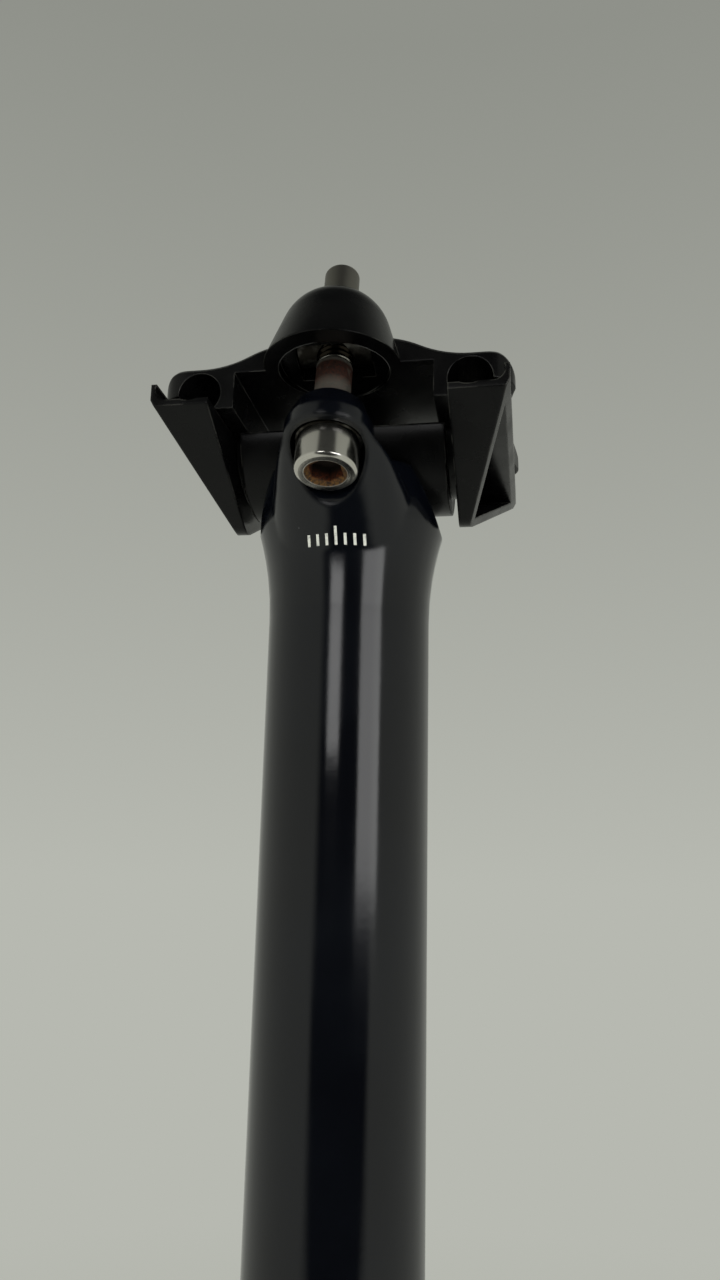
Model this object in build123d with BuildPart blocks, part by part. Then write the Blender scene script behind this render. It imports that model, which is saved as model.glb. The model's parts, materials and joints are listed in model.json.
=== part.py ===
from build123d import *
import os
from math import asin, cos, degrees, hypot, radians, sin, sqrt, tan

# A two-bolt bicycle seatpost. +Z is up along the tube, the saddle rails run along Y, and the front bolt
# is on the -Y side. The origin is the centre of the tube's lower end. Sizes are in millimetres.

# Tube and forged head
tube_diameter = 27.2
tube_wall = 2.3
drum_height = 350.0
neck_length = 15.0
head_flare = 2.2
head_floor = 17.0
seat_wall = 4.6
seat_rise = 4.4
seat_clearance = 0.06

# Half-drum cradle under the saddle rails
rail_diameter = 7.0
rail_clearance = 0.1
rail_rise = 1.8
rail_inset = 3.2
drum_radius = 12.4
drum_flat_drop = 1.5
drum_overhang = 1.5
neck_radius = 9.5
neck_width = 1.5
ear_length = 51.0
ear_end_wall = 1.0
ear_drop = 15.6
ear_apex_radius = 4.0
ear_foot_width = 1.7
hook_height = 1.2
hook_reach = 2.6
hook_tip = 0.9
trough_wall = 1.6
rib_wall = 1.6
web_wall = 1.4

# Upper clamp
split_gap = 0.5
wing_wall = 1.0
wing_end_wall = 3.3
wing_end_radius = 3.0
wing_length = 41.0
wing_corner = 4.5
wing_chamfer = 0.6
waist_depth = 2.0
jaw_wall = 2.2
crown_height = 10.2
crown_half_width = 6.0
hollow_height = 5.2
bell_flare = 15.5
bell_lead = 0.8
bell_top = 18.0
dome_radius = 9.3
dome_centre = 10.1
bell_bore_radius = 9.0
bell_bore_depth = 7.4

# Bolts, half-round washers and barrel nuts
bolt_diameter = 5.9
bolt_length = 35.0
bolt_gap = 7.5
bolt_lean = 12.5
bolt_head_diameter = 10.0
bolt_head_height = 6.0
bolt_head_chamfer = 0.7
socket_width = 5.0
socket_depth = 3.2
tip_chamfer = 0.8
boss_wall = 1.2
boss_taper = 1.5
boss_top_drop = 2.2
boss_floor = 4.1
boss_chamfer = 0.5
washer_rim = 0.6
washer_overhang = 0.2
head_swing_room = 0.9
nut_diameter = 8.0
nut_length = 12.0
nut_station = 11.8
nut_clearance = 0.06
thread_clearance = 0.13
hole_clearance = 0.25
tilt_limit = 8.0

# Values worked out from the sizes above
tube_radius = tube_diameter / 2
bore_radius = tube_radius - tube_wall
head_radius = tube_radius + head_flare
seat_radius = drum_radius + seat_clearance
seat_bottom = drum_height - seat_radius
head_top = seat_bottom + seat_rise
head_start = seat_bottom - seat_wall
neck_start = head_start - neck_length
bore_end = seat_bottom - head_floor

drum_end = head_radius + drum_overhang
drum_flat = drum_height - drum_flat_drop
ear_inner = drum_end + neck_width
rail_offset = ear_inner + rail_inset
rail_level = drum_height + rail_rise
groove_radius = rail_diameter / 2 + rail_clearance
hook_start = rail_offset + groove_radius
ear_outer = hook_start + hook_reach
hook_top = drum_height + hook_height
ear_apex = drum_height - ear_drop

wing_top = rail_level + groove_radius + wing_wall
wing_reach = rail_offset + groove_radius + wing_end_wall
jaw_inner = rail_offset - groove_radius - jaw_wall
hollow_top = drum_height + hollow_height
bell_radius = dome_radius / cos(radians(bell_flare)) + dome_centre * tan(radians(bell_flare))
dome_end = degrees(asin((bell_top - dome_centre) / dome_radius))

bolt_radius = bolt_diameter / 2
bolt_offset = drum_radius + bolt_gap
washer_radius = bolt_head_diameter / 2 + washer_overhang
washer_back_radius = sqrt(washer_radius ** 2 + (bolt_head_height + washer_rim) ** 2)
pivot_station = -boss_top_drop - boss_floor - washer_back_radius
counterbore_radius = bolt_head_diameter / 2 + head_swing_room
boss_radius = counterbore_radius + boss_wall
boss_top_radius = boss_radius - boss_taper

# Each bolt swings about the axis of its washer's round back as the clamp tilts about the drum's axis.
lean = radians(bolt_lean)
nut_side = bolt_offset - nut_station * sin(lean)
nut_rise = nut_station * cos(lean)
bolt_ratio = (nut_rise * cos(lean) - nut_side * sin(lean)) / (nut_station - pivot_station)
bolt_swing = radians(tilt_limit * abs(bolt_ratio))
nut_swing = radians(tilt_limit * abs(1 - bolt_ratio))
boss_hole_radius = bolt_radius + (-boss_top_drop - pivot_station) * tan(bolt_swing) + hole_clearance
bell_hole_radius = bolt_radius + (bell_top - nut_station) * tan(nut_swing) + hole_clearance


def bolt_line(side):
    """Direction of a bolt's axis, from its head to its tip; side is -1 at the front and 1 at the rear."""
    return Vector(0, -side * sin(lean), cos(lean))


def bolt_point(side, station):
    """Point on a bolt's axis, at a distance along it from the height of the drum's axis."""
    return Vector(0, side * bolt_offset, drum_height) + bolt_line(side) * station


def across_bolt(side, station):
    """Plane square to a bolt's axis."""
    return Plane(bolt_point(side, station), x_dir=(1, 0, 0), z_dir=bolt_line(side))


def along_bolt(side, station):
    """Plane that holds a bolt's axis, with its own Y along the bolt."""
    line = bolt_line(side)
    return Plane(bolt_point(side, station), x_dir=(1, 0, 0), z_dir=(0, -line.Z, line.Y))


def bolt_axis(side):
    return Axis(bolt_point(side, 0), bolt_line(side))


def beside_bolt(side, station):
    """Plane square to X, with its own Y along the bolt."""
    line = bolt_line(side)
    return Plane(bolt_point(side, station), x_dir=(0, line.Z, -line.Y), z_dir=(1, 0, 0))


# Groove for a bolt's head: round along the bolt, with a roof that is round about the pivot
with BuildPart() as head_groove:
    with BuildSketch(across_bolt(-1, pivot_station - drum_radius)):
        Circle(counterbore_radius)
    extrude(amount=drum_radius + 2 * washer_back_radius)
    with BuildSketch(beside_bolt(-1, pivot_station)):
        Circle(washer_back_radius + seat_clearance)
        Rectangle(4 * washer_back_radius, 2 * drum_radius, align=(Align.CENTER, Align.MAX))
    extrude(amount=2 * counterbore_radius, both=True, mode=Mode.INTERSECT)
    with BuildSketch(across_bolt(-1, pivot_station)):
        Circle(boss_hole_radius)
    extrude(amount=2 * washer_back_radius)

# Post: a drawn tube whose forged head flares out to two leaning bolt bosses, fore and aft of the seat
with BuildPart() as post:
    with BuildSketch(Plane.XZ):
        with BuildLine():
            flare = TangentArc((tube_radius, neck_start), (head_radius, head_start), tangent=(0, 1))
            Polyline(flare @ 1, (head_radius, head_top), (0, head_top), (0, 0), (tube_radius, 0), flare @ 0)
        make_face()
    revolve(axis=Axis.Z)

    # The bosses grow out of the neck in a smooth sweep and end square to their bolts.
    boss_foot = pivot_station + bolt_head_height
    with BuildSketch(Plane.XY.offset(neck_start + neck_length / 4)):
        Circle(tube_radius - boss_wall)
    with BuildSketch(Plane((0, bolt_point(-1, boss_foot).Y / 4, head_start))):
        Circle(tube_radius - boss_wall)
    with BuildSketch(across_bolt(-1, boss_foot)):
        Circle(boss_radius)
    loft()
    with BuildSketch(along_bolt(-1, 0)):
        Polygon(
            (0, boss_foot),
            (boss_radius, boss_foot),
            (boss_radius, -boss_top_drop - boss_floor),
            (boss_top_radius, -boss_top_drop - boss_chamfer),
            (boss_top_radius - boss_chamfer, -boss_top_drop),
            (0, -boss_top_drop),
            align=None,
        )
    revolve(axis=bolt_axis(-1))
    mirror(about=Plane.XZ)

    # Both shoulders sweep in from the full width of the head to the width of the bosses.
    with BuildSketch(Plane.XZ):
        with BuildLine():
            shoulder = ThreePointArc(
                (head_radius, head_start),
                ((head_radius + boss_radius) / 2 + boss_wall, (head_start + drum_height) / 2 - boss_wall),
                (boss_radius, drum_height - boss_top_drop),
            )
            Polyline(
                shoulder @ 1,
                (boss_radius, drum_height + boss_radius),
                (2 * head_radius, drum_height + boss_radius),
                (2 * head_radius, head_start),
                shoulder @ 0,
            )
        make_face()
        mirror(about=Plane.YZ)
    extrude(amount=2 * bolt_offset, both=True, mode=Mode.SUBTRACT)

    # Seat for the drum, bore of the tube, and the grooves and holes of both bolts
    with BuildSketch(Plane.YZ):
        with Locations((0, drum_height)):
            Circle(seat_radius)
    extrude(amount=2 * head_radius, both=True, mode=Mode.SUBTRACT)
    with BuildSketch(Plane.XY):
        Circle(bore_radius)
    extrude(amount=bore_end, mode=Mode.SUBTRACT)
    add(head_groove.part, mode=Mode.SUBTRACT)
    mirror(head_groove.part, about=Plane.XZ, mode=Mode.SUBTRACT)
post.part.label = "post"

# Lower cradle: a half-drum with an ear at each end; each ear is a rail bed with a hooked outer lip that
# stands on two diagonal ribs, with a pocket between them
with BuildPart() as lower_cradle:
    with BuildSketch(Plane.XZ.offset(-ear_length / 2)):
        with BuildLine():
            hook = TangentArc((hook_start, drum_flat), (ear_outer - hook_tip, hook_top), tangent=(1, 0))
            Polyline(
                hook @ 1,
                (ear_outer, hook_top),
                (ear_outer, drum_flat),
                (ear_inner + ear_foot_width, ear_apex),
                (ear_inner, ear_apex),
                (ear_inner, drum_flat),
                hook @ 0,
            )
        make_face()
        mirror(about=Plane.YZ)
    extrude(amount=ear_length)
    with BuildSketch(Plane.YZ) as ear_outline:
        Polygon(
            (-ear_length / 2, hook_top),
            (-ear_length / 2, drum_flat - ear_end_wall),
            (0, ear_apex),
            (ear_length / 2, drum_flat - ear_end_wall),
            (ear_length / 2, hook_top),
            align=None,
        )
        fillet(ear_outline.vertices().sort_by(Axis.Y)[0], ear_apex_radius)
    extrude(amount=ear_outer, both=True, mode=Mode.INTERSECT)

    # A pocket between the ribs lightens each ear from its outer side.
    rib_slope = 2 * (drum_flat - ear_end_wall - ear_apex) / ear_length
    pocket_top = drum_flat - trough_wall
    pocket_apex = ear_apex + rib_wall * hypot(1, rib_slope)
    pocket_half = (pocket_top - pocket_apex) / rib_slope
    with BuildSketch(Plane.YZ.offset(ear_inner + web_wall)):
        Polygon((-pocket_half, pocket_top), (0, pocket_apex), (pocket_half, pocket_top), align=None)
    pocket = extrude(amount=ear_outer, mode=Mode.SUBTRACT)
    mirror(pocket, about=Plane.YZ, mode=Mode.SUBTRACT)

    # Half-drum, and the narrower necks that carry the ears
    for radius, reach in ((drum_radius, drum_end), (neck_radius, ear_inner + web_wall)):
        with BuildSketch(Plane.YZ):
            with Locations((0, drum_height)):
                Circle(radius)
            with Locations((0, drum_flat)):
                Rectangle(2 * radius, 2 * radius, align=(Align.CENTER, Align.MIN), mode=Mode.SUBTRACT)
        extrude(amount=reach, both=True)

    # Shallow beds for the rails
    with BuildSketch(Plane.XZ.offset(-ear_length / 2)):
        with Locations((-rail_offset, rail_level), (rail_offset, rail_level)):
            Circle(groove_radius)
    extrude(amount=ear_length, mode=Mode.SUBTRACT)
lower_cradle.part.label = "lower_cradle"

# Upper clamp: wings that hook over both rails, with a hollow bell over each bolt for its barrel nut
with BuildPart() as upper_clamp:
    with BuildSketch(Plane.XZ.offset(-wing_length / 2)):
        with BuildLine():
            crown = Line((0, drum_height + crown_height), (crown_half_width, drum_height + crown_height))
            slope_middle = (crown @ 1 + Vector(rail_offset, wing_top)) / 2
            slope = TangentArc(crown @ 1, slope_middle, tangent=(1, 0))
            foot = TangentArc(slope @ 1, (rail_offset, wing_top), tangent=slope % 1)
            brow = Line(foot @ 1, (wing_reach - wing_end_radius, wing_top))
            tip = RadiusArc(brow @ 1, (wing_reach, wing_top - wing_end_radius), wing_end_radius)
            Polyline(
                tip @ 1,
                (wing_reach, hook_top + split_gap),
                (rail_offset, hook_top + split_gap),
                (rail_offset, drum_flat + split_gap),
                (jaw_inner, drum_flat + split_gap),
                (jaw_inner, hollow_top),
                (0, hollow_top),
                crown @ 0,
            )
        make_face()
        mirror(about=Plane.YZ)
    extrude(amount=wing_length)
    with BuildSketch(Plane.XY.offset(drum_height - drum_radius)):
        with BuildLine():
            lobe_end = wing_length / 2 - wing_corner
            waist = ThreePointArc((wing_reach, lobe_end), (wing_reach - waist_depth, 0), (wing_reach, -lobe_end))
            front_corner = RadiusArc(
                waist @ 1, (wing_reach - wing_corner, -wing_length / 2), wing_corner
            )
            rear_corner = RadiusArc((wing_reach - wing_corner, wing_length / 2), waist @ 0, wing_corner)
            Polyline(front_corner @ 1, (0, -wing_length / 2), (0, wing_length / 2), rear_corner @ 0)
        make_face()
        mirror(about=Plane.YZ)
    extrude(amount=2 * drum_radius, mode=Mode.INTERSECT)

    # Broken edges along the front and rear ends of the wings
    end_faces = upper_clamp.faces().filter_by(Axis.Y)
    chamfer(
        [edge for face in end_faces for edge in face.edges() if edge.center().Z > wing_top - wing_chamfer],
        wing_chamfer,
    )

    # Bells, each a dome on a flared skirt, turned about its bolt's direction and cut off level at the rim
    for side in (-1, 1):
        bell_plane = along_bolt(side, 0).offset(-side * bell_lead)
        with BuildSketch(bell_plane):
            with BuildLine():
                dome = CenterArc((0, dome_centre), dome_radius, bell_flare, dome_end - bell_flare)
                Polyline(dome @ 1, (0, bell_top), (0, 0), (bell_radius, 0), dome @ 0)
            make_face()
        revolve(axis=Axis(bell_plane.origin, bolt_line(side)))
    with BuildSketch(Plane.YZ):
        with Locations((0, hollow_top)):
            Rectangle(4 * bolt_offset, 2 * hollow_height, align=(Align.CENTER, Align.MAX))
    extrude(amount=jaw_inner, both=True, mode=Mode.SUBTRACT)

    # Inside each bell: the hollow, the slot that takes the barrel nut from below, its half-round seat, and
    # the bolt's hole
    for side in (-1, 1):
        with BuildSketch(across_bolt(side, 0)):
            Circle(bell_bore_radius)
        extrude(amount=bell_bore_depth, mode=Mode.SUBTRACT)
        with BuildSketch(across_bolt(side, 0)):
            Rectangle(nut_length + 4 * nut_clearance, nut_diameter + 2 * nut_clearance)
        extrude(amount=nut_station, mode=Mode.SUBTRACT)
        with BuildSketch(beside_bolt(side, nut_station)):
            Circle(nut_diameter / 2 + nut_clearance)
        extrude(amount=nut_length / 2 + 2 * nut_clearance, both=True, mode=Mode.SUBTRACT)
        with BuildSketch(across_bolt(side, nut_station)):
            Circle(bell_hole_radius)
        extrude(amount=bell_top, mode=Mode.SUBTRACT)

    # Rail grooves
    with BuildSketch(Plane.XZ.offset(-wing_length / 2)):
        with Locations((-rail_offset, rail_level), (rail_offset, rail_level)):
            Circle(groove_radius)
    extrude(amount=wing_length, mode=Mode.SUBTRACT)
upper_clamp.part.label = "upper_clamp"

pieces = [post, lower_cradle, upper_clamp]

# The two bolts with their half-round washers and barrel nuts
for end, side in (("front", -1), ("rear", 1)):
    with BuildPart() as bolt:
        with BuildSketch(along_bolt(side, pivot_station)):
            Polygon(
                (0, 0),
                (bolt_head_diameter / 2 - bolt_head_chamfer, 0),
                (bolt_head_diameter / 2, bolt_head_chamfer),
                (bolt_head_diameter / 2, bolt_head_height),
                (bolt_radius, bolt_head_height),
                (bolt_radius, bolt_head_height + bolt_length - tip_chamfer),
                (bolt_radius - tip_chamfer, bolt_head_height + bolt_length),
                (0, bolt_head_height + bolt_length),
                align=None,
            )
        revolve(axis=bolt_axis(side))
        with BuildSketch(across_bolt(side, pivot_station)):
            RegularPolygon(socket_width / 2, 6, major_radius=False)
        extrude(amount=socket_depth, mode=Mode.SUBTRACT)
    bolt.part.label = end + "_bolt"

    with BuildPart() as washer:
        with BuildSketch(across_bolt(side, pivot_station + bolt_head_height)):
            Circle(washer_radius)
            Circle(bolt_radius + thread_clearance, mode=Mode.SUBTRACT)
        extrude(amount=washer_back_radius)
        with BuildSketch(beside_bolt(side, pivot_station)):
            Circle(washer_back_radius)
        extrude(amount=2 * washer_radius, both=True, mode=Mode.INTERSECT)
    washer.part.label = end + "_washer"

    with BuildPart() as barrel_nut:
        with BuildSketch(beside_bolt(side, nut_station)):
            Circle(nut_diameter / 2)
        extrude(amount=nut_length / 2, both=True)
        with BuildSketch(across_bolt(side, nut_station)):
            Circle(bolt_radius + thread_clearance)
        extrude(amount=nut_diameter, both=True, mode=Mode.SUBTRACT)
    barrel_nut.part.label = end + "_barrel_nut"
    pieces += [bolt, washer, barrel_nut]

os.makedirs("parts", exist_ok=True)
for piece in pieces:
    export_step(piece.part, "parts/" + piece.part.label + ".step")
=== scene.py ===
import json
from math import atan2, ceil, cos, pi, radians, sin, tan

import bmesh
import bpy
from mathutils import Matrix, Vector
from mathutils.bvhtree import BVHTree


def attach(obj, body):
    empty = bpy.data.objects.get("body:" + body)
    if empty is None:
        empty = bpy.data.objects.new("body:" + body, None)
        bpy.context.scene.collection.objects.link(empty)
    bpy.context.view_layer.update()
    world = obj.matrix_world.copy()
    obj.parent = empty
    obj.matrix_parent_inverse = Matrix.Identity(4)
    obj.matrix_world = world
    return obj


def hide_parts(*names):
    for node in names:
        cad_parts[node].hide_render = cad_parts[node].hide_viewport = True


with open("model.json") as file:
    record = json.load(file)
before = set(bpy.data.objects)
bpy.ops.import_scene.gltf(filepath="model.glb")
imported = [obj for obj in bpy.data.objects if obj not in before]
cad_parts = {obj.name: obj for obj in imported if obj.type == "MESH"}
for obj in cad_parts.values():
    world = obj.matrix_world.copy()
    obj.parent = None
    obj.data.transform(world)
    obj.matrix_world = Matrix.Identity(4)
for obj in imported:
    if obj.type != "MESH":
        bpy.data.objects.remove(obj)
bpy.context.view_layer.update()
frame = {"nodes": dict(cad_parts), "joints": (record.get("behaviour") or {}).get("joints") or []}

nodes = frame["nodes"]
scene = bpy.context.scene
mm = 0.001


# Camera: a phone held low in front of the post and a little to its right, looking up at the clamp.
# The lens is the phone's wide one, 28 mm on a full frame, and the phone was rolled by about a degree.
camera_distance = 165.5 * mm
camera_height = 275 * mm
camera_azimuth = radians(10.5)
camera_pitch = radians(13.63)
camera_turn = radians(0.66)
camera_roll = radians(1.27)
lens_length = 28.125
film_width = 36.0
camera_data = bpy.data.cameras.new("photo_camera")
camera_data.lens = lens_length
camera_data.sensor_width = film_width
camera_data.clip_start = 10 * mm
camera = bpy.data.objects.new("photo_camera", camera_data)
scene.collection.objects.link(camera)
camera_place = Vector(
    (camera_distance * sin(camera_azimuth), -camera_distance * cos(camera_azimuth), camera_height)
)
camera.matrix_world = (
    Matrix.Translation(camera_place)
    @ Matrix.Rotation(camera_azimuth - camera_turn, 4, "Z")
    @ Matrix.Rotation(radians(90) + camera_pitch, 4, "X")
    @ Matrix.Rotation(camera_roll, 4, "Z")
)
scene.camera = camera
scene.view_settings.view_transform = "Standard"


# Post: a drawn aluminium tube with a forged head, all one piece. It is sprayed gloss black with a
# faint blue cast, so it is dark face on, mirrors the room at its flanks, and shows upright highlights.
paint_black = "#04050a"
paint_haze = "#080b12"
dust_grey = "#45474a"
paint_rough_low = 0.09
paint_rough_high = 0.18
paint_ior = 1.5
peel_size = 1.6 * mm
peel_depth = 0.006 * mm
haze_size = 22 * mm
haze_from = 0.4
haze_to = 0.75
dust_spacing = 6 * mm
dust_size = 0.16 * mm
dust_core = 0.6
paint_edge = 1.2 * mm


def linear(hex_colour):
    """An sRGB hex colour as linear red, green, blue and alpha."""
    shares = [int(hex_colour[start:start + 2], 16) / 255 for start in (1, 3, 5)]
    return [s / 12.92 if s <= 0.04045 else ((s + 0.055) / 1.055) ** 2.4 for s in shares] + [1.0]


def add_node(tree, kind, inputs=None, **settings):
    """Adds a node with its settings, and gives each named input a value or another node's output."""
    node = tree.nodes.new(kind)
    for name, value in settings.items():
        setattr(node, name, value)
    for name, value in (inputs or {}).items():
        if isinstance(value, bpy.types.NodeSocket):
            tree.links.new(value, node.inputs[name])
        else:
            node.inputs[name].default_value = value
    return node


def new_material(name):
    """Makes a material, and gives it back with its node tree and its shader."""
    material = bpy.data.materials.new(name)
    material.use_nodes = True
    tree = material.node_tree
    return material, tree, tree.nodes["Principled BSDF"]


def finish_node(name, material):
    """Gives a CAD node its finish."""
    nodes[name].data.materials.clear()
    nodes[name].data.materials.append(material)


# Sprayed gloss enamel: orange peel bends the highlights a little, handling dulls it in wide patches,
# and dust sits on it in pale specks.
gloss_paint, tree, shader = new_material("gloss_black_enamel")
place = add_node(tree, "ShaderNodeTexCoord").outputs["Object"]
peel = add_node(tree, "ShaderNodeTexNoise", {"Vector": place, "Scale": 1 / peel_size, "Detail": 2.0})
haze = add_node(tree, "ShaderNodeTexNoise", {"Vector": place, "Scale": 1 / haze_size, "Detail": 5.0})
haze_share = add_node(
    tree,
    "ShaderNodeMapRange",
    {"Value": haze.outputs["Fac"], "From Min": haze_from, "From Max": haze_to},
)
dust = add_node(tree, "ShaderNodeTexVoronoi", {"Vector": place, "Scale": 1 / dust_spacing})
dust_reach = dust_size / dust_spacing
speck = add_node(
    tree,
    "ShaderNodeMapRange",
    {"Value": dust.outputs["Distance"], "From Min": dust_reach, "From Max": dust_core * dust_reach},
)
hazed = add_node(
    tree,
    "ShaderNodeMix",
    {0: haze_share.outputs["Result"], 6: linear(paint_black), 7: linear(paint_haze)},
    data_type="RGBA",
)
dusted = add_node(
    tree,
    "ShaderNodeMix",
    {0: speck.outputs["Result"], 6: hazed.outputs[2], 7: linear(dust_grey)},
    data_type="RGBA",
)
gloss = add_node(
    tree,
    "ShaderNodeMapRange",
    {"Value": haze_share.outputs["Result"], "To Min": paint_rough_low, "To Max": paint_rough_high},
)
rounded = add_node(tree, "ShaderNodeBevel", {"Radius": paint_edge}, samples=6)
relief = add_node(
    tree,
    "ShaderNodeBump",
    {"Distance": peel_depth, "Height": peel.outputs["Fac"], "Normal": rounded.outputs["Normal"]},
)
tree.links.new(dusted.outputs[2], shader.inputs["Base Color"])
tree.links.new(gloss.outputs["Result"], shader.inputs["Roughness"])
tree.links.new(relief.outputs["Normal"], shader.inputs["Normal"])
shader.inputs["IOR"].default_value = paint_ior
finish_node("post", gloss_paint)


# Index marks: a short row of upright ticks with a taller one in the middle, screen printed in white
# ink on the front of the head, under the bolt. The ink follows the curve of the head.
mark_place = Vector((0.3, -30, 327.1)) * mm
tick_count = 7
tick_pitch = 1.5 * mm
tick_width = 0.45 * mm
tick_height = 1.7 * mm
middle_height = 2.7 * mm
ink_depth = 0.03 * mm
ink_white = "#e6e6e0"
ink_worn = "#a9aaa8"
ink_grain = 0.5 * mm
worn_from = 0.5
worn_to = 0.75
ink_rough = 0.45


def fix_order(bm):
    """Sorts edges and faces by their points, because the operators leave them in no fixed order."""
    bm.verts.index_update()
    for parts in (bm.edges, bm.faces):
        ranked = sorted(parts, key=lambda part: sorted(vert.index for vert in part.verts))
        rank = {part: number for number, part in enumerate(ranked)}
        parts.sort(key=rank.get)


post_mesh = nodes["post"].data
post_surface = BVHTree.FromPolygons(
    [vert.co for vert in post_mesh.vertices], [list(face.vertices) for face in post_mesh.polygons]
)
bm = bmesh.new()
for tick in range(tick_count):
    offset = tick - (tick_count - 1) / 2
    height = middle_height if offset == 0 else tick_height
    size = Matrix.Diagonal((tick_width, height, 1, 1))
    upright = Matrix.Rotation(radians(90), 4, "X")
    middle = Matrix.Translation(mark_place + Vector((offset * tick_pitch, 0, height / 2)))
    bmesh.ops.create_grid(bm, x_segments=2, y_segments=8, size=0.5, matrix=middle @ upright @ size)
for vert in bm.verts:
    landing = post_surface.ray_cast(vert.co, Vector((0, 1, 0)))[0]
    vert.co.y = landing.y - ink_depth
bmesh.ops.recalc_face_normals(bm, faces=bm.faces)
if sum(face.normal.y for face in bm.faces) > 0:
    bmesh.ops.reverse_faces(bm, faces=bm.faces)
bmesh.ops.solidify(bm, geom=bm.faces[:], thickness=ink_depth)
fix_order(bm)
mark_mesh = bpy.data.meshes.new("index_marks")
bm.to_mesh(mark_mesh)
bm.free()
index_marks = bpy.data.objects.new("index_marks", mark_mesh)
scene.collection.objects.link(index_marks)

# Screen ink: flat white, thinner and greyer in grains where the print is worn.
ink, tree, shader = new_material("white_screen_ink")
place = add_node(tree, "ShaderNodeTexCoord").outputs["Object"]
grain = add_node(tree, "ShaderNodeTexNoise", {"Vector": place, "Scale": 1 / ink_grain, "Detail": 3.0})
worn = add_node(
    tree,
    "ShaderNodeMapRange",
    {"Value": grain.outputs["Fac"], "From Min": worn_from, "From Max": worn_to},
)
tone = add_node(
    tree,
    "ShaderNodeMix",
    {0: worn.outputs["Result"], 6: linear(ink_white), 7: linear(ink_worn)},
    data_type="RGBA",
)
tree.links.new(tone.outputs[2], shader.inputs["Base Color"])
shader.inputs["Roughness"].default_value = ink_rough
mark_mesh.materials.append(ink)
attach(index_marks, "post")


# Lower cradle: a forged aluminium half-drum with two ribbed ears, which turns in the round seat of
# the head. It is black anodised over a blasted surface, so it is satin, and dark grey where light
# grazes it. The blasted grain is finer than the render can show, so it is drawn coarser.
cradle_black = "#050506"
cradle_pale = "#0c0c0d"
bare_aluminium = "#74736f"
blast_grain = 0.35 * mm
blast_depth = 0.006 * mm
patch_size = 7 * mm
patch_from = 0.35
patch_to = 0.7
wear_grain = 3.5 * mm
wear_from = 0.46
wear_to = 0.7
edge_from = 0.95
edge_to = 0.78
anodised_ior = 1.3
cradle_edge = 0.6 * mm
cradle_rough_low = 0.2
cradle_rough_high = 0.34


def black_anodised(name, edge_round, rough_low, rough_high):
    """Black anodised aluminium: a fine blasted grain, uneven sheen, and edges rubbed to bare metal."""
    material, tree, shader = new_material(name)
    place = add_node(tree, "ShaderNodeTexCoord").outputs["Object"]
    blast = add_node(
        tree, "ShaderNodeTexNoise", {"Vector": place, "Scale": 1 / blast_grain, "Detail": 3.0}
    )
    patch = add_node(
        tree, "ShaderNodeTexNoise", {"Vector": place, "Scale": 1 / patch_size, "Detail": 5.0}
    )
    patch_share = add_node(
        tree,
        "ShaderNodeMapRange",
        {"Value": patch.outputs["Fac"], "From Min": patch_from, "From Max": patch_to},
    )
    rounded = add_node(tree, "ShaderNodeBevel", {"Radius": edge_round}, samples=8)
    flat = add_node(tree, "ShaderNodeNewGeometry")
    turn = add_node(
        tree,
        "ShaderNodeVectorMath",
        {0: rounded.outputs["Normal"], 1: flat.outputs["Normal"]},
        operation="DOT_PRODUCT",
    )
    edge = add_node(
        tree,
        "ShaderNodeMapRange",
        {"Value": turn.outputs["Value"], "From Min": edge_from, "From Max": edge_to},
    )
    rub = add_node(
        tree, "ShaderNodeTexNoise", {"Vector": place, "Scale": 1 / wear_grain, "Detail": 4.0}
    )
    rub_share = add_node(
        tree,
        "ShaderNodeMapRange",
        {"Value": rub.outputs["Fac"], "From Min": wear_from, "From Max": wear_to},
    )
    wear = add_node(
        tree,
        "ShaderNodeMath",
        {0: edge.outputs["Result"], 1: rub_share.outputs["Result"]},
        operation="MULTIPLY",
    )
    dyed = add_node(
        tree,
        "ShaderNodeMix",
        {0: patch_share.outputs["Result"], 6: linear(cradle_black), 7: linear(cradle_pale)},
        data_type="RGBA",
    )
    rubbed = add_node(
        tree,
        "ShaderNodeMix",
        {0: wear.outputs["Value"], 6: dyed.outputs[2], 7: linear(bare_aluminium)},
        data_type="RGBA",
    )
    sheen = add_node(
        tree,
        "ShaderNodeMapRange",
        {"Value": patch_share.outputs["Result"], "To Min": rough_low, "To Max": rough_high},
    )
    relief = add_node(
        tree,
        "ShaderNodeBump",
        {"Distance": blast_depth, "Height": blast.outputs["Fac"], "Normal": rounded.outputs["Normal"]},
    )
    tree.links.new(rubbed.outputs[2], shader.inputs["Base Color"])
    tree.links.new(wear.outputs["Value"], shader.inputs["Metallic"])
    tree.links.new(sheen.outputs["Result"], shader.inputs["Roughness"])
    tree.links.new(relief.outputs["Normal"], shader.inputs["Normal"])
    shader.inputs["IOR"].default_value = anodised_ior
    return material


cradle_finish = black_anodised("satin_black_cradle", cradle_edge, cradle_rough_low, cradle_rough_high)
finish_node("lower_cradle", cradle_finish)


# Upper clamp: a forged aluminium yoke with wings over both rails and two hollow domes for the nuts.
# It is black anodised like the cradle, with a more even sheen and tighter edges. The bolts pull it
# down onto the rails.
clamp_edge = 0.35 * mm
clamp_rough_low = 0.2
clamp_rough_high = 0.3
clamp_finish = black_anodised("smooth_black_clamp", clamp_edge, clamp_rough_low, clamp_rough_high)
finish_node("upper_clamp", clamp_finish)


# Washers: half-round steel rings on the bolts, turned and left bare. Their round backs seat in the
# roofs of the grooves in the head, so the bolts can swing as the clamp tilts. Real tool marks are
# finer than the render can show, so they are drawn coarser.
bare_steel = "#84827d"
oiled_steel = "#33302c"
tool_mark = 0.3 * mm
tool_mark_depth = 0.004 * mm
oil_patch = 2.5 * mm
oil_from = 0.3
oil_to = 0.55
steel_rough_low = 0.28
steel_rough_high = 0.5
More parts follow.
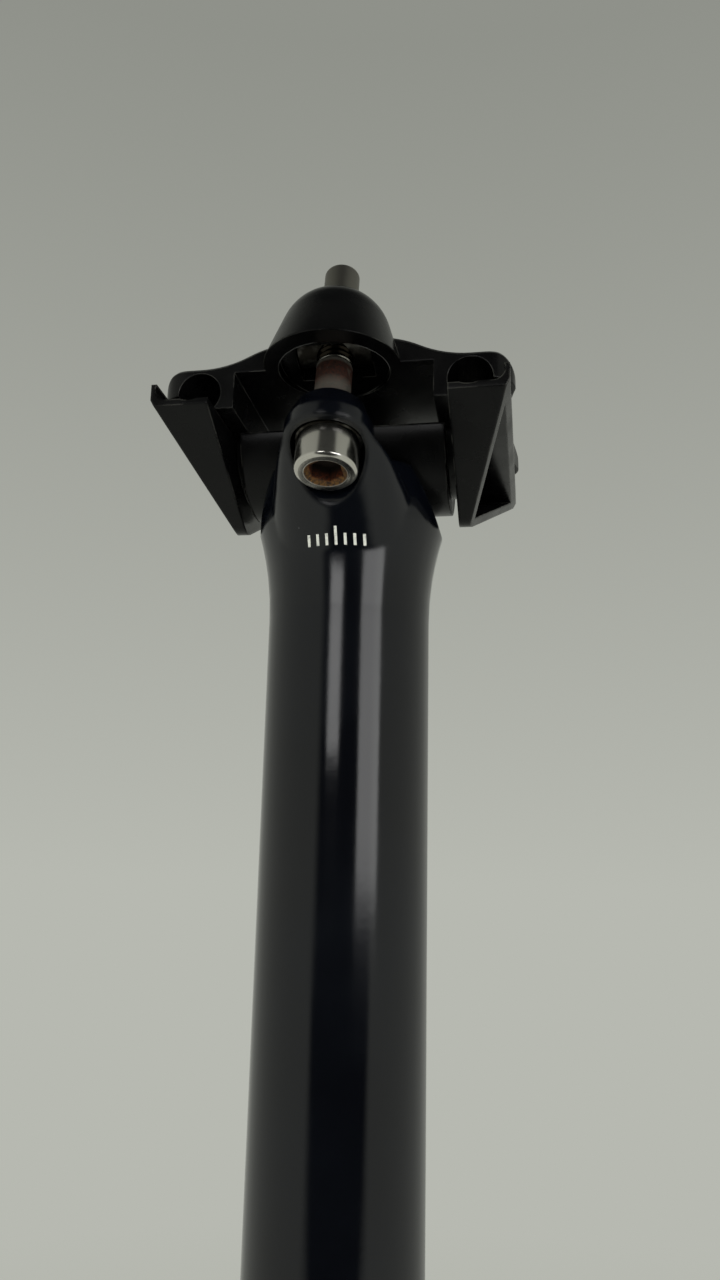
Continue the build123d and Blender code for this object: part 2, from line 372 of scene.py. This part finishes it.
# The wave texture repeats each time that its scaled coordinate grows by a tenth of pi.
wave_repeat = pi / 10
joint_places = {joint["name"]: Vector(joint["pos_m"]) for joint in frame["joints"]}


def turned_steel(name, middle, ring_direction):
    """Bare turned steel, with fine rings about a middle point and dark patches of old oil."""
    material, tree, shader = new_material(name)
    place = add_node(tree, "ShaderNodeTexCoord").outputs["Object"]
    centred = add_node(tree, "ShaderNodeMapping", {"Vector": place, "Location": -middle})
    rings = add_node(
        tree,
        "ShaderNodeTexWave",
        {"Vector": centred.outputs["Vector"], "Scale": wave_repeat / tool_mark, "Distortion": 0.4},
        wave_type="RINGS",
        rings_direction=ring_direction,
    )
    oil = add_node(
        tree, "ShaderNodeTexNoise", {"Vector": place, "Scale": 1 / oil_patch, "Detail": 4.0}
    )
    oil_share = add_node(
        tree,
        "ShaderNodeMapRange",
        {"Value": oil.outputs["Fac"], "From Min": oil_from, "From Max": oil_to},
    )
    tone = add_node(
        tree,
        "ShaderNodeMix",
        {0: oil_share.outputs["Result"], 6: linear(bare_steel), 7: linear(oiled_steel)},
        data_type="RGBA",
    )
    gloss = add_node(
        tree,
        "ShaderNodeMapRange",
        {"Value": oil_share.outputs["Result"], "To Min": steel_rough_low, "To Max": steel_rough_high},
    )
    relief = add_node(
        tree, "ShaderNodeBump", {"Distance": tool_mark_depth, "Height": rings.outputs["Fac"]}
    )
    tree.links.new(tone.outputs[2], shader.inputs["Base Color"])
    tree.links.new(gloss.outputs["Result"], shader.inputs["Roughness"])
    tree.links.new(relief.outputs["Normal"], shader.inputs["Normal"])
    shader.inputs["Metallic"].default_value = 1.0
    return material


for end in ("front", "rear"):
    swing_place = joint_places[end + "_bolt_swing"]
    finish_node(end + "_washer", turned_steel(end + "_turned_washer", swing_place, "Z"))


# Barrel nuts: short steel rods, turned and cross-drilled for the bolts. They lie in half-round seats
# inside the domes and turn there as the clamp tilts.
for end in ("front", "rear"):
    turn_place = joint_places[end + "_nut_turn"]
    finish_node(end + "_barrel_nut", turned_steel(end + "_turned_nut", turn_place, "X"))


# Bolts: M6 socket screws of plated steel with a plain shank, a rolled thread and a plain rounded point.
# The plating is bright on the head, the socket has rusted, and the shank is brown near the thread and
# dull below it. The socket's rust is painted lighter near its mouth as light falling in, and painted
# darker deep inside as shade. The heads pull up on the washers, and the nuts hold the threads.
head_radius = 5 * mm
head_height = 6 * mm
head_round = 0.75 * mm
socket_flat = 2.5 * mm
socket_depth = 3.2 * mm
socket_mouth = 3.4 * mm
mouth_depth = 0.6 * mm
shank_radius = 2.95 * mm
thread_root = 2.42 * mm
thread_pitch = 1.0 * mm
crest_flat = 0.2 * mm
thread_start = head_height + 14.8 * mm
bolt_end = head_height + 35 * mm
thread_end = bolt_end - 6 * mm
point_radius = 2.95 * mm
point_round = 0.7 * mm
ring_steps = 48
round_steps = 8
thread_steps = 32
merge_gap = 0.005 * mm
rim_slack = 0.001 * mm
sharp_angle = radians(20)
plate_bright = "#d4d1ca"
plate_dull = "#7c7a73"
# The darkest rust tone, which also serves as painted shade deep in the socket.
dark_rust_and_shade = "#1e100a"
rust_brown = "#431c0b"
rust_orange = "#74320c"
# A lighter ochre rust tone, painted near the socket's mouth as light falling in.
painted_lit_rust = "#7a5420"
grease_dark = "#25211c"
rust_patch = 2.2 * mm
patchy_from = 0.22
patchy_to = 0.42
rust_grain = 0.4 * mm
grain_from = 0.35
grain_to = 0.65
rust_depth = 0.04 * mm
rust_length = 4.5 * mm
rust_film = 0.45
mouth_fade = 0.1 * mm
# Painted light: the socket's rust turns lighter ochre towards its mouth, between these depths.
mouth_light_full = 0.1 * socket_depth
mouth_light_end = 0.3 * socket_depth
# Painted shade: the socket's rust darkens towards its floor, between these depths.
painted_shade_start = 0.3 * socket_depth
painted_shade_full = 0.75 * socket_depth
bright_rough = 0.12
dull_rough = 0.42
fog_rough = 0.12
rust_rough = 0.75


def grow_ring(bm, ring, radius_at, height):
    """Extrudes a ring of edges and puts the new ring at a height, at a radius that may vary round it."""
    made = bmesh.ops.extrude_edge_only(bm, edges=ring)["geom"]
    verts = {item for item in made if isinstance(item, bmesh.types.BMVert)}
    for vert in verts:
        angle = atan2(vert.co.y, vert.co.x)
        radius = radius_at(angle)
        vert.co = Vector((radius * cos(angle), radius * sin(angle), height))
    return [edge for edge in bm.edges if edge.verts[0] in verts and edge.verts[1] in verts]


def socket_radius(angle):
    """Distance from the middle of the hexagonal socket to its side, in a direction."""
    return socket_flat / cos((angle + pi / 6) % (pi / 3) - pi / 6)


def bolt_body(bm):
    """The bolt without its thread, from the socket's floor, round the head and along to the point."""
    made = bmesh.ops.create_circle(bm, cap_ends=True, segments=ring_steps, radius=socket_flat)
    for vert in made["verts"]:
        angle = atan2(vert.co.y, vert.co.x)
        reach = socket_radius(angle)
        vert.co = Vector((reach * cos(angle), reach * sin(angle), socket_depth))
    ring = [edge for edge in bm.edges if edge.is_boundary]
    ring = grow_ring(bm, ring, socket_radius, mouth_depth)
    outline = [(socket_mouth, 0)]
    for step in range(round_steps + 1):
        angle = radians(90) * step / round_steps
        radius = head_radius - head_round * (1 - sin(angle))
        outline.append((radius, head_round * (1 - cos(angle))))
    outline += [
        (head_radius, head_height),
        (shank_radius, head_height),
        (shank_radius, thread_start),
        (thread_root, thread_start + shank_radius - thread_root),
        (thread_root, thread_end - point_radius + thread_root),
        (point_radius, thread_end),
    ]
    for step in range(round_steps + 1):
        angle = radians(90) * step / round_steps
        radius = point_radius - point_round * (1 - cos(angle))
        outline.append((radius, bolt_end - point_round * (1 - sin(angle))))
    for radius, height in outline:
        ring = grow_ring(bm, ring, lambda angle, radius=radius: radius, height)
    bmesh.ops.edgeloop_fill(bm, edges=ring)


def bolt_thread(bm):
    """The rolled thread as one spiral ridge, cut off square inside the shank and the point."""
    turns = ceil((thread_end - thread_start) / thread_pitch) + 2
    flank = (thread_pitch - crest_flat) / 2
    outline = [
        (thread_root, 0),
        (shank_radius, flank),
        (shank_radius, flank + crest_flat),
        (thread_root, thread_pitch),
    ]
    low_end = thread_start - thread_pitch
    verts = [bm.verts.new((radius, 0, low_end + rise)) for radius, rise in outline]
    edges = [bm.edges.new(pair) for pair in zip(verts, verts[1:])]
    bmesh.ops.spin(
        bm,
        geom=verts + edges,
        cent=(0, 0, 0),
        axis=(0, 0, 1),
        dvec=(0, 0, thread_pitch / thread_steps),
        angle=2 * pi * turns,
        steps=thread_steps * turns,
        use_merge=False,
    )
    bmesh.ops.remove_doubles(bm, verts=bm.verts, dist=merge_gap)
    for height, facing in ((thread_start, -1), (thread_end, 1)):
        bmesh.ops.bisect_plane(
            bm,
            geom=bm.verts[:] + bm.edges[:] + bm.faces[:],
            plane_co=(0, 0, height),
            plane_no=(0, 0, facing),
            clear_outer=True,
        )
        rim = [
            edge
            for edge in bm.edges
            if all(abs(vert.co.z - height) < rim_slack for vert in edge.verts)
        ]
        bmesh.ops.edgeloop_fill(bm, edges=rim)


def plated_steel(name, head_place, lean):
    """Bright plating, a rusty socket painted lighter near its mouth as light and darker deep inside as
    shade, a shank that is brown and then dull, and a greasy thread.
    """
    material, tree, shader = new_material(name)
    place = add_node(tree, "ShaderNodeTexCoord").outputs["Object"]
    along_bolt = add_node(
        tree,
        "ShaderNodeMapping",
        {"Vector": place, "Location": head_place, "Rotation": (-lean, 0, 0)},
        vector_type="TEXTURE",
    ).outputs["Vector"]
    height = add_node(tree, "ShaderNodeSeparateXYZ", {"Vector": along_bolt}).outputs["Z"]
    sideways = add_node(
        tree, "ShaderNodeVectorMath", {0: along_bolt, 1: (1, 1, 0)}, operation="MULTIPLY"
    ).outputs["Vector"]
    radius = add_node(
        tree, "ShaderNodeVectorMath", {0: sideways}, operation="LENGTH"
    ).outputs["Value"]
    inside_mouth = add_node(
        tree,
        "ShaderNodeMapRange",
        {"Value": radius, "From Min": socket_mouth + mouth_fade, "From Max": socket_mouth - mouth_fade},
    )
    above_floor = add_node(
        tree,
        "ShaderNodeMapRange",
        {"Value": height, "From Min": socket_depth + mouth_depth, "From Max": socket_depth},
    )
    in_socket = add_node(
        tree,
        "ShaderNodeMath",
        {0: inside_mouth.outputs["Result"], 1: above_floor.outputs["Result"]},
        operation="MULTIPLY",
    ).outputs["Value"]
    past_head = add_node(
        tree,
        "ShaderNodeMapRange",
        {"Value": height, "From Min": head_height, "From Max": head_height + thread_pitch},
    )
    before_thread = add_node(
        tree,
        "ShaderNodeMapRange",
        {"Value": height, "From Min": thread_start, "From Max": thread_start - thread_pitch},
    )
    on_shank = add_node(
        tree,
        "ShaderNodeMath",
        {0: past_head.outputs["Result"], 1: before_thread.outputs["Result"]},
        operation="MULTIPLY",
    )
    patch = add_node(
        tree, "ShaderNodeTexNoise", {"Vector": along_bolt, "Scale": 1 / rust_patch, "Detail": 5.0}
    )
    patch_share = add_node(
        tree,
        "ShaderNodeMapRange",
        {"Value": patch.outputs["Fac"], "From Min": patchy_from, "From Max": patchy_to},
    )
    rust_reach = add_node(
        tree,
        "ShaderNodeMapRange",
        {
            "Value": height,
            "From Min": thread_start - rust_length - thread_pitch,
            "From Max": thread_start - rust_length + thread_pitch,
            "To Min": rust_film,
        },
    )
    rusty_stretch = add_node(
        tree,
        "ShaderNodeMath",
        {0: on_shank.outputs["Value"], 1: rust_reach.outputs["Result"]},
        operation="MULTIPLY",
    )
    shank_rust = add_node(
        tree,
        "ShaderNodeMath",
        {0: rusty_stretch.outputs["Value"], 1: patch_share.outputs["Result"]},
        operation="MULTIPLY",
    )
    rust = add_node(
        tree, "ShaderNodeMath", {0: in_socket, 1: shank_rust.outputs["Value"]}, operation="MAXIMUM"
    ).outputs["Value"]
    grain = add_node(
        tree, "ShaderNodeTexNoise", {"Vector": along_bolt, "Scale": 1 / rust_grain, "Detail": 4.0}
    )
    grain_share = add_node(
        tree,
        "ShaderNodeMapRange",
        {"Value": grain.outputs["Fac"], "From Min": grain_from, "From Max": grain_to},
    )
    # Painted light: the socket's rust is lighter and more ochre near the mouth, where light falls in.
    painted_mouth_light = add_node(
        tree,
        "ShaderNodeMapRange",
        {"Value": height, "From Min": mouth_light_end, "From Max": mouth_light_full},
    )
    socket_oxide_and_painted_light = add_node(
        tree,
        "ShaderNodeMix",
        {0: painted_mouth_light.outputs["Result"], 6: linear(rust_orange), 7: linear(painted_lit_rust)},
        data_type="RGBA",
    )
    oxide_and_painted_light = add_node(
        tree,
        "ShaderNodeMix",
        {0: in_socket, 6: linear(rust_brown), 7: socket_oxide_and_painted_light.outputs[2]},
        data_type="RGBA",
    )
    grained_oxide_and_light = add_node(
        tree,
        "ShaderNodeMix",
        {0: grain_share.outputs["Result"], 6: linear(dark_rust_and_shade), 7: oxide_and_painted_light.outputs[2]},
        data_type="RGBA",
    )
    # Painted shade: the socket is darkened towards its floor, where light does not reach.
    painted_socket_shade = add_node(
        tree,
        "ShaderNodeMapRange",
        {"Value": height, "From Min": painted_shade_start, "From Max": painted_shade_full},
    )
    painted_shade_in_socket = add_node(
        tree, "ShaderNodeMath", {0: painted_socket_shade.outputs["Result"], 1: in_socket}, operation="MULTIPLY"
    )
    oxide_and_painted_shade = add_node(
        tree,
        "ShaderNodeMix",
        {0: painted_shade_in_socket.outputs["Value"], 6: grained_oxide_and_light.outputs[2], 7: linear(dark_rust_and_shade)},
        data_type="RGBA",
    )
    past_thread = add_node(
        tree,
        "ShaderNodeMapRange",
        {"Value": height, "From Min": thread_end - thread_pitch, "From Max": thread_end},
    )
    worn_end = add_node(
        tree,
        "ShaderNodeMapRange",
        {
            "Value": height,
            "From Min": bolt_end - 0.5 * point_round,
            "From Max": bolt_end - point_round,
        },
    )
    dull_point = add_node(
        tree,
        "ShaderNodeMath",
        {0: past_thread.outputs["Result"], 1: worn_end.outputs["Result"]},
        operation="MULTIPLY",
    )
    dull = add_node(
        tree,
        "ShaderNodeMath",
        {0: dull_point.outputs["Value"], 1: on_shank.outputs["Value"]},
        operation="MAXIMUM",
    ).outputs["Value"]
    plate = add_node(
        tree,
        "ShaderNodeMix",
        {0: dull, 6: linear(plate_bright), 7: linear(plate_dull)},
        data_type="RGBA",
    )
    on_thread = add_node(
        tree,
        "ShaderNodeMapRange",
        {"Value": height, "From Min": thread_start, "From Max": thread_start + 0.5 * thread_pitch},
    )
    off_point = add_node(
        tree, "ShaderNodeMath", {0: 1.0, 1: past_thread.outputs["Result"]}, operation="SUBTRACT"
    )
    greased = add_node(
        tree,
        "ShaderNodeMath",
        {0: on_thread.outputs["Result"], 1: off_point.outputs["Value"]},
        operation="MULTIPLY",
    )
    dirty = add_node(
        tree,
        "ShaderNodeMix",
        {0: greased.outputs["Value"], 6: plate.outputs[2], 7: linear(grease_dark)},
        data_type="RGBA",
    )
    tone = add_node(
        tree,
        "ShaderNodeMix",
        {0: rust, 6: dirty.outputs[2], 7: oxide_and_painted_shade.outputs[2]},
        data_type="RGBA",
    )
    metal = add_node(tree, "ShaderNodeMapRange", {"Value": rust, "To Min": 1.0, "To Max": 0.0})
    plate_gloss = add_node(
        tree, "ShaderNodeMapRange", {"Value": dull, "To Min": bright_rough, "To Max": dull_rough}
    )
    fog = add_node(
        tree,
        "ShaderNodeMath",
        {0: patch.outputs["Fac"], 1: fog_rough, 2: plate_gloss.outputs["Result"]},
        operation="MULTIPLY_ADD",
    )
    gloss = add_node(
        tree,
        "ShaderNodeMapRange",
        {"Value": rust, "To Min": fog.outputs["Value"], "To Max": rust_rough},
    )
    scale = add_node(
        tree, "ShaderNodeMath", {0: grain.outputs["Fac"], 1: rust}, operation="MULTIPLY"
    )
    relief = add_node(
        tree, "ShaderNodeBump", {"Distance": rust_depth, "Height": scale.outputs["Value"]}
    )
    tree.links.new(tone.outputs[2], shader.inputs["Base Color"])
    tree.links.new(metal.outputs["Result"], shader.inputs["Metallic"])
    tree.links.new(gloss.outputs["Result"], shader.inputs["Roughness"])
    tree.links.new(relief.outputs["Normal"], shader.inputs["Normal"])
    return material


for end in ("front", "rear"):
    head_place = joint_places[end + "_bolt_swing"]
    bolt_direction = joint_places[end + "_nut_turn"] - head_place
    lean = atan2(bolt_direction.y, bolt_direction.z)
    bm = bmesh.new()
    bolt_thread(bm)
    body = bmesh.new()
    bolt_body(body)
    body_mesh = bpy.data.meshes.new("bolt_body")
    body.to_mesh(body_mesh)
    body.free()
    bm.from_mesh(body_mesh)
    bpy.data.meshes.remove(body_mesh)
    bmesh.ops.recalc_face_normals(bm, faces=bm.faces)
    in_place = Matrix.Translation(head_place) @ Matrix.Rotation(-lean, 4, "X")
    bmesh.ops.transform(bm, matrix=in_place, verts=bm.verts)
    fix_order(bm)
    for face in bm.faces:
        face.smooth = True
    bolt_mesh = bpy.data.meshes.new(end + "_socket_bolt")
    bm.to_mesh(bolt_mesh)
    bm.free()
    bolt_mesh.set_sharp_from_angle(angle=sharp_angle)
    bolt_mesh.materials.append(plated_steel(end + "_plated_steel", head_place, lean))
    socket_bolt = bpy.data.objects.new(end + "_socket_bolt", bolt_mesh)
    scene.collection.objects.link(socket_bolt)
    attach(socket_bolt, end + "_bolt_set")
    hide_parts(end + "_bolt")


# Studio floor: a wide pale board under the post. Near the post it keeps the shadow, and further out
# it runs into the colour of the surround, so no line shows where it ends.
floor_radius = 3.0
floor_steps = 64
floor_rough = 0.7
floor_pale = "#bdbdbc"
surround_low = "#b7b9b1"
fade_start = 0.35
fade_end = 0.75
room_dim = "#2e2f2d"
room_azimuth = radians(10.5)
room_half_width = radians(38)
room_fade_from = -0.05
room_fade_to = 0.12


def dim_in_front(tree, place):
    """A mask that is 1 in front, in the sector of the dim room, and 0 at the sides and behind."""
    forward = add_node(
        tree,
        "ShaderNodeVectorMath",
        {0: place, 1: (sin(room_azimuth), -cos(room_azimuth), 0)},
        operation="DOT_PRODUCT",
    )
    sideways = add_node(
        tree,
        "ShaderNodeVectorMath",
        {0: place, 1: (cos(room_azimuth), sin(room_azimuth), 0)},
        operation="DOT_PRODUCT",
    )
    off_middle = add_node(
        tree, "ShaderNodeMath", {0: sideways.outputs["Value"]}, operation="ABSOLUTE"
    )
    reach = add_node(
        tree,
        "ShaderNodeMath",
        {0: forward.outputs["Value"], 1: tan(room_half_width)},
        operation="MULTIPLY",
    )
    within = add_node(
        tree,
        "ShaderNodeMath",
        {0: reach.outputs["Value"], 1: off_middle.outputs["Value"]},
        operation="SUBTRACT",
    )
    dimness = add_node(
        tree,
        "ShaderNodeMapRange",
        {"Value": within.outputs["Value"], "From Min": room_fade_from, "From Max": room_fade_to},
    )
    return dimness.outputs["Result"]


bm = bmesh.new()
bmesh.ops.create_circle(bm, cap_ends=True, segments=floor_steps, radius=floor_radius)
floor_mesh = bpy.data.meshes.new("floor")
bm.to_mesh(floor_mesh)
bm.free()
floor = bpy.data.objects.new("floor", floor_mesh)
scene.collection.objects.link(floor)
floor_board, tree, shader = new_material("pale_board")
shader.inputs["Base Color"].default_value = linear(floor_pale)
shader.inputs["Roughness"].default_value = floor_rough
place = add_node(tree, "ShaderNodeTexCoord").outputs["Object"]
radius = add_node(tree, "ShaderNodeVectorMath", {0: place}, operation="LENGTH").outputs["Value"]
fade = add_node(
    tree, "ShaderNodeMapRange", {"Value": radius, "From Min": fade_start, "From Max": fade_end}
)
rays = add_node(tree, "ShaderNodeLightPath")
seen = add_node(
    tree,
    "ShaderNodeMath",
    {0: rays.outputs["Is Camera Ray"], 1: rays.outputs["Is Glossy Ray"]},
    operation="MAXIMUM",
)
far_share = add_node(
    tree,
    "ShaderNodeMath",
    {0: fade.outputs["Result"], 1: seen.outputs["Value"]},
    operation="MULTIPLY",
)
mirrored = add_node(
    tree,
    "ShaderNodeMath",
    {0: dim_in_front(tree, place), 1: rays.outputs["Is Glossy Ray"]},
    operation="MULTIPLY",
)
far_tone = add_node(
    tree,
    "ShaderNodeMix",
    {0: mirrored.outputs["Value"], 6: linear(surround_low), 7: linear(room_dim)},
    data_type="RGBA",
)
far_floor = add_node(tree, "ShaderNodeEmission", {"Color": far_tone.outputs[2]})
share = add_node(
    tree,
    "ShaderNodeMath",
    {0: far_share.outputs["Value"], 1: mirrored.outputs["Value"]},
    operation="MAXIMUM",
)
blend = add_node(
    tree,
    "ShaderNodeMixShader",
    {0: share.outputs["Value"], 1: shader.outputs["BSDF"], 2: far_floor.outputs["Emission"]},
)
tree.links.new(blend.outputs["Shader"], tree.nodes["Material Output"].inputs["Surface"])
floor_mesh.materials.append(floor_board)


# Studio surround: a pale wall all round, a little darker overhead. The gloss mirrors a dim ceiling,
# and a dim room in front. The wall lights the object so that colours render about as written.
surround_high = "#8f918a"
high_from = 0.7
ceiling_from = 0.75
ceiling_to = 0.95
ambient_level = 2.8
world = bpy.data.worlds.new("studio")
world.use_nodes = True
tree = world.node_tree
direction = add_node(tree, "ShaderNodeTexCoord").outputs["Generated"]
upward = add_node(tree, "ShaderNodeSeparateXYZ", {"Vector": direction}).outputs["Z"]
rise = add_node(tree, "ShaderNodeMapRange", {"Value": upward, "From Max": high_from})
wall = add_node(
    tree,
    "ShaderNodeMix",
    {0: rise.outputs["Result"], 6: linear(surround_low), 7: linear(surround_high)},
    data_type="RGBA",
)
ceiling = add_node(
    tree,
    "ShaderNodeMapRange",
    {"Value": upward, "From Min": ceiling_from, "From Max": ceiling_to},
)
dim_share = add_node(
    tree,
    "ShaderNodeMath",
    {0: dim_in_front(tree, direction), 1: ceiling.outputs["Result"]},
    operation="MAXIMUM",
)
rays = add_node(tree, "ShaderNodeLightPath")
mirrored = add_node(
    tree,
    "ShaderNodeMath",
    {0: dim_share.outputs["Value"], 1: rays.outputs["Is Glossy Ray"]},
    operation="MULTIPLY",
)
room = add_node(
    tree,
    "ShaderNodeMix",
    {0: mirrored.outputs["Value"], 6: wall.outputs[2], 7: linear(room_dim)},
    data_type="RGBA",
)
seen = add_node(
    tree,
    "ShaderNodeMath",
    {0: rays.outputs["Is Camera Ray"], 1: rays.outputs["Is Glossy Ray"]},
    operation="MAXIMUM",
)
seen_or_through = add_node(
    tree,
    "ShaderNodeMath",
    {0: seen.outputs["Value"], 1: rays.outputs["Is Transmission Ray"]},
    operation="MAXIMUM",
)
strength = add_node(
    tree,
    "ShaderNodeMapRange",
    {"Value": seen_or_through.outputs["Value"], "To Min": ambient_level, "To Max": 1.0},
)
background = tree.nodes["Background"]
tree.links.new(room.outputs[2], background.inputs["Color"])
tree.links.new(strength.outputs["Result"], background.inputs["Strength"])
scene.world = world


# Studio lights: two soft boxes a metre in front of the post, one nearly head on and one to the right.
# They are what the gloss tube shows as two upright bright strips. Their angles are in degrees and
# their sizes in metres.
aim = Vector((0, 0, 310)) * mm
box_distance = 1.0
soft_boxes = (
    {
        "name": "front_box",
        "azimuth": -8,
        "elevation": 11.8,
        "width": 0.28,
        "height": 0.2,
        "watts": 0.6,
    },
    {
        "name": "right_box",
        "azimuth": 41,
        "elevation": 7,
        "width": 0.5,
        "height": 0.36,
        "watts": 1.6,
    },
)
for box in soft_boxes:
    box_data = bpy.data.lights.new(box["name"], "AREA")
    box_data.shape = "RECTANGLE"
    box_data.size = box["width"]
    box_data.size_y = box["height"]
    box_data.energy = box["watts"]
    soft_box = bpy.data.objects.new(box["name"], box_data)
    scene.collection.objects.link(soft_box)
    swung = Matrix.Rotation(radians(box["azimuth"]), 3, "Z")
    raised = Matrix.Rotation(-radians(box["elevation"]), 3, "X")
    from_aim = swung @ raised @ Vector((0, -box_distance, 0))
    facing = (-from_aim).to_track_quat("-Z", "Y").to_matrix().to_4x4()
    soft_box.matrix_world = Matrix.Translation(aim + from_aim) @ facing
